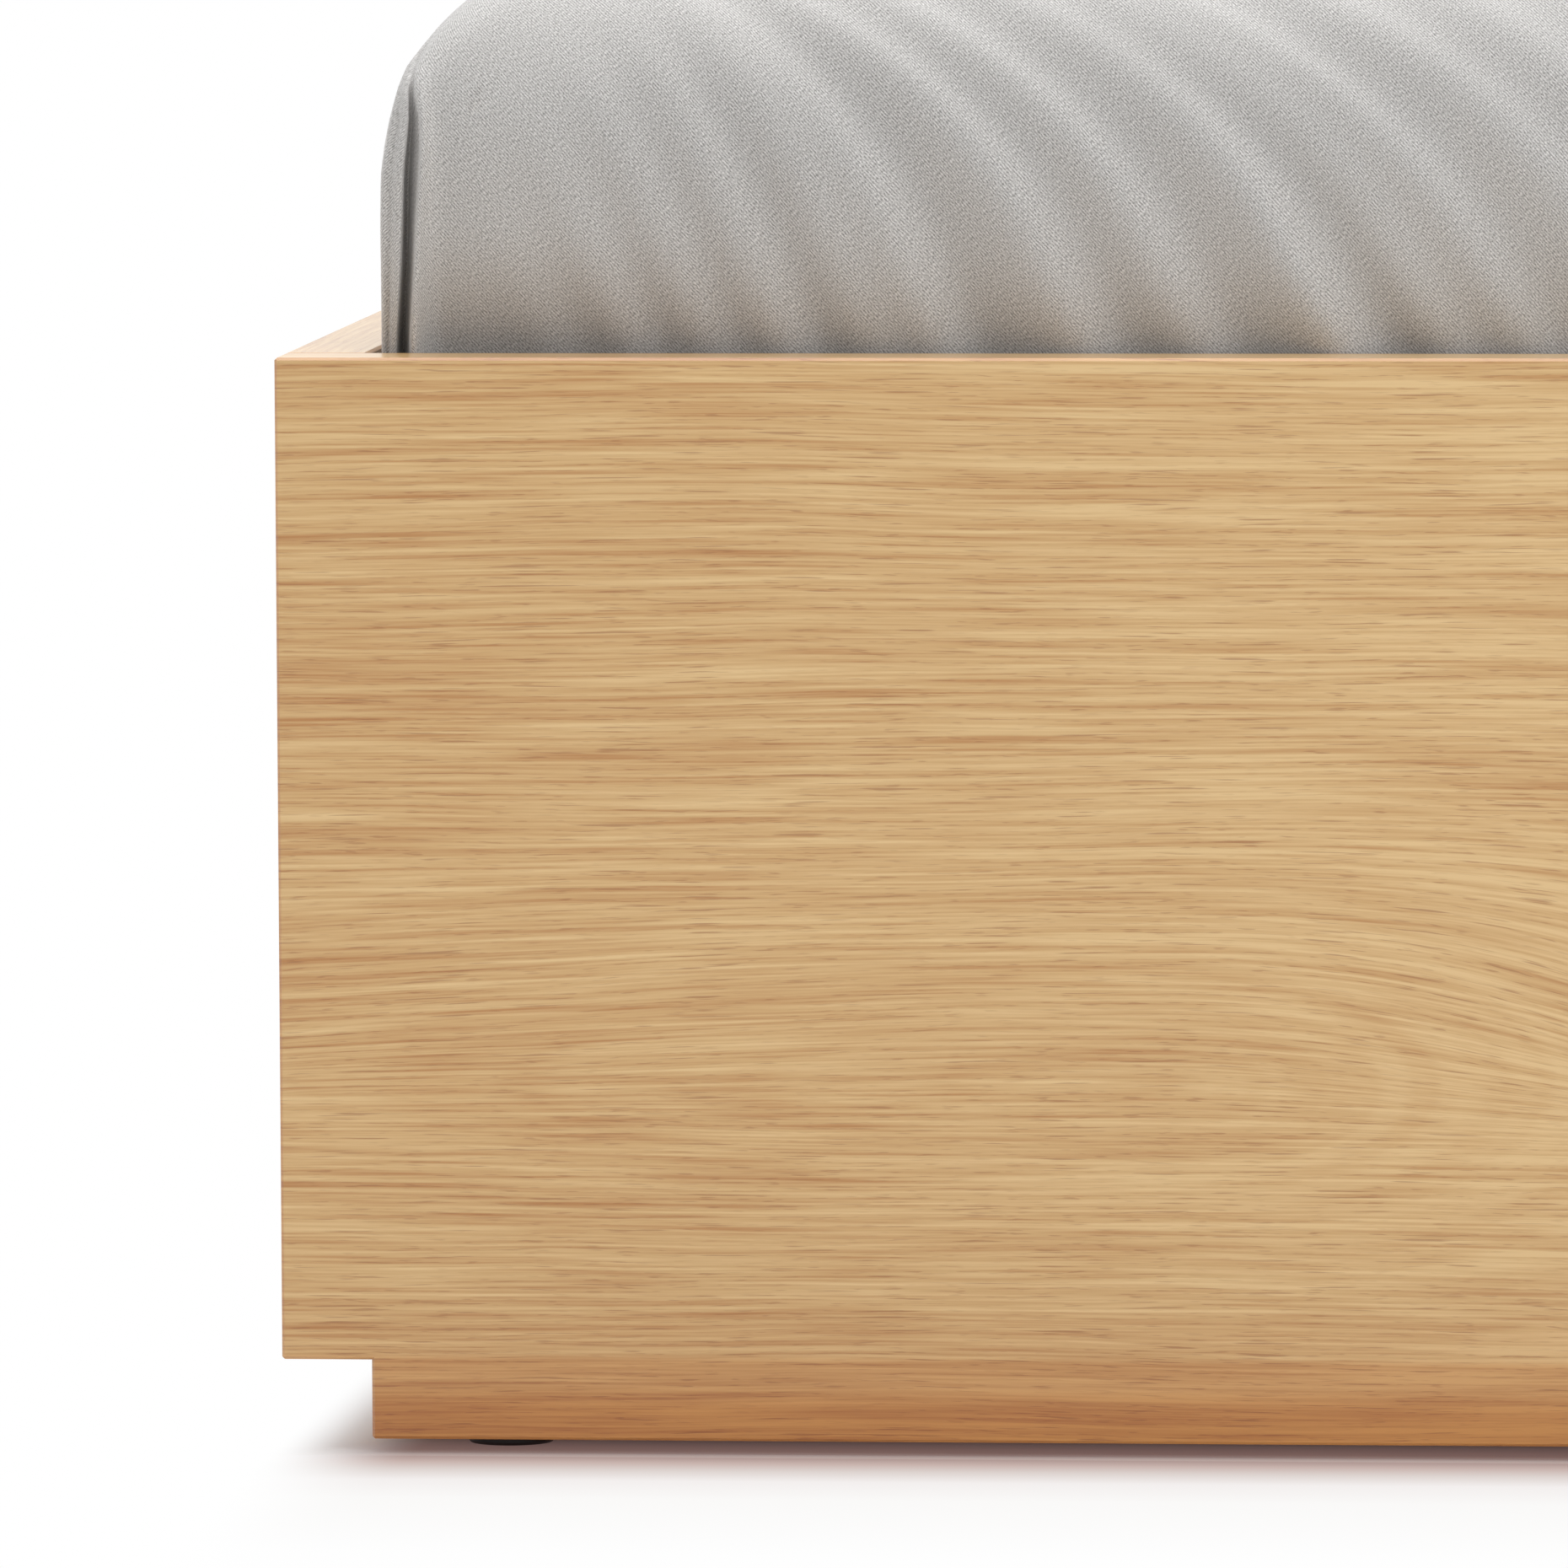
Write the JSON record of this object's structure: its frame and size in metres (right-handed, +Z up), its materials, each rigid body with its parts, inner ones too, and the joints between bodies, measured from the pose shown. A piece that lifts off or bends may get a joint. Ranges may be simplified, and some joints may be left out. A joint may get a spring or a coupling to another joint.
{
  "type": "platform bed",
  "caption": "Platform bed: an oak-veneered box frame with recessed plinths and levelling glides, a slatted base, and a mattress in a fitted satin sheet.",
  "frame": {"origin": "middle of the bed's footprint, on the floor", "axes": "+X to the right seen from the foot end, +Y from the foot end to the head end, +Z up"},
  "size_m": [1.67, 2.07, 0.557],
  "materials": {
    "oak_veneer": "oak veneer, matt lacquer, grain along the board",
    "pine": "planed, unfinished",
    "birch": "planed, unfinished",
    "black_steel": "black powder coat",
    "zinc_steel": "bright zinc plate",
    "black_nylon": "moulded, fine texture",
    "webbing": "woven polyester tape",
    "mattress_foam": "open foam",
    "ticking": "knitted cover",
    "satin_sheet": "cotton satin twill, soft sheen"
  },
  "bodies": {
    "frame": {"foot_board": "oak_veneer", "head_board": "oak_veneer", "left_side_panel": "oak_veneer", "right_side_panel": "oak_veneer", "left_plinth": "oak_veneer", "right_plinth": "oak_veneer", "foot_left_post": "pine", "foot_right_post": "pine", "mid_left_post": "pine", "mid_right_post": "pine", "head_left_post": "pine", "head_right_post": "pine", "left_slat_rail": "pine", "right_slat_rail": "pine", "centre_beam": "pine", "centre_leg_1": "pine", "centre_leg_2": "pine", "centre_leg_3": "pine", "slat_01": "birch", "slat_02": "birch", "slat_03": "birch", "slat_04": "birch", "slat_05": "birch", "slat_06": "birch", "slat_07": "birch", "slat_08": "birch", "slat_09": "birch", "slat_10": "birch", "slat_11": "birch", "slat_12": "birch", "slat_13": "birch", "corner_dowels": "birch", "foot_beam_hanger": "black_steel", "head_beam_hanger": "black_steel", "left_slat_strap": "webbing", "right_slat_strap": "webbing", "glide_inserts": "zinc_steel", "panel_bolts": "zinc_steel", "panel_inserts": "zinc_steel", "rail_screws": "zinc_steel", "hanger_screws": "zinc_steel", "leg_bolts": "zinc_steel", "strap_tacks": "zinc_steel", "slat_screws": "zinc_steel", "plinth_screws": "zinc_steel"},
    "foot_left_glide": {"foot_left_glide": "black_nylon"},
    "foot_right_glide": {"foot_right_glide": "black_nylon"},
    "mid_left_glide": {"mid_left_glide": "black_nylon"},
    "mid_right_glide": {"mid_right_glide": "black_nylon"},
    "head_left_glide": {"head_left_glide": "black_nylon"},
    "head_right_glide": {"head_right_glide": "black_nylon"},
    "centre_glide_1": {"centre_glide_1": "black_nylon"},
    "centre_glide_2": {"centre_glide_2": "black_nylon"},
    "centre_glide_3": {"centre_glide_3": "black_nylon"},
    "mattress": {"mattress_core": "mattress_foam", "comfort_layer": "mattress_foam", "mattress_cover": "ticking", "mattress_base": "ticking", "fitted_sheet": "satin_sheet"}
  },
  "joints": [
    {"name": "foot_left_glide_screw", "type": "slide", "parent": "frame", "child": "foot_left_glide", "axis": [0, 0, 1], "range_m": [-0.015, 0]},
    {"name": "foot_right_glide_screw", "type": "slide", "parent": "frame", "child": "foot_right_glide", "axis": [0, 0, 1], "range_m": [-0.015, 0]},
    {"name": "mid_left_glide_screw", "type": "slide", "parent": "frame", "child": "mid_left_glide", "axis": [0, 0, 1], "range_m": [-0.015, 0]},
    {"name": "mid_right_glide_screw", "type": "slide", "parent": "frame", "child": "mid_right_glide", "axis": [0, 0, 1], "range_m": [-0.015, 0]},
    {"name": "head_left_glide_screw", "type": "slide", "parent": "frame", "child": "head_left_glide", "axis": [0, 0, 1], "range_m": [-0.015, 0]},
    {"name": "head_right_glide_screw", "type": "slide", "parent": "frame", "child": "head_right_glide", "axis": [0, 0, 1], "range_m": [-0.015, 0]},
    {"name": "centre_glide_1_screw", "type": "slide", "parent": "frame", "child": "centre_glide_1", "axis": [0, 0, 1], "range_m": [-0.015, 0]},
    {"name": "centre_glide_2_screw", "type": "slide", "parent": "frame", "child": "centre_glide_2", "axis": [0, 0, 1], "range_m": [-0.015, 0]},
    {"name": "centre_glide_3_screw", "type": "slide", "parent": "frame", "child": "centre_glide_3", "axis": [0, 0, 1], "range_m": [-0.015, 0]},
    {"name": "mattress_lift", "type": "slide", "parent": "frame", "child": "mattress", "axis": [0, 0, 1], "range_m": [0, 0.4]}
  ]
}
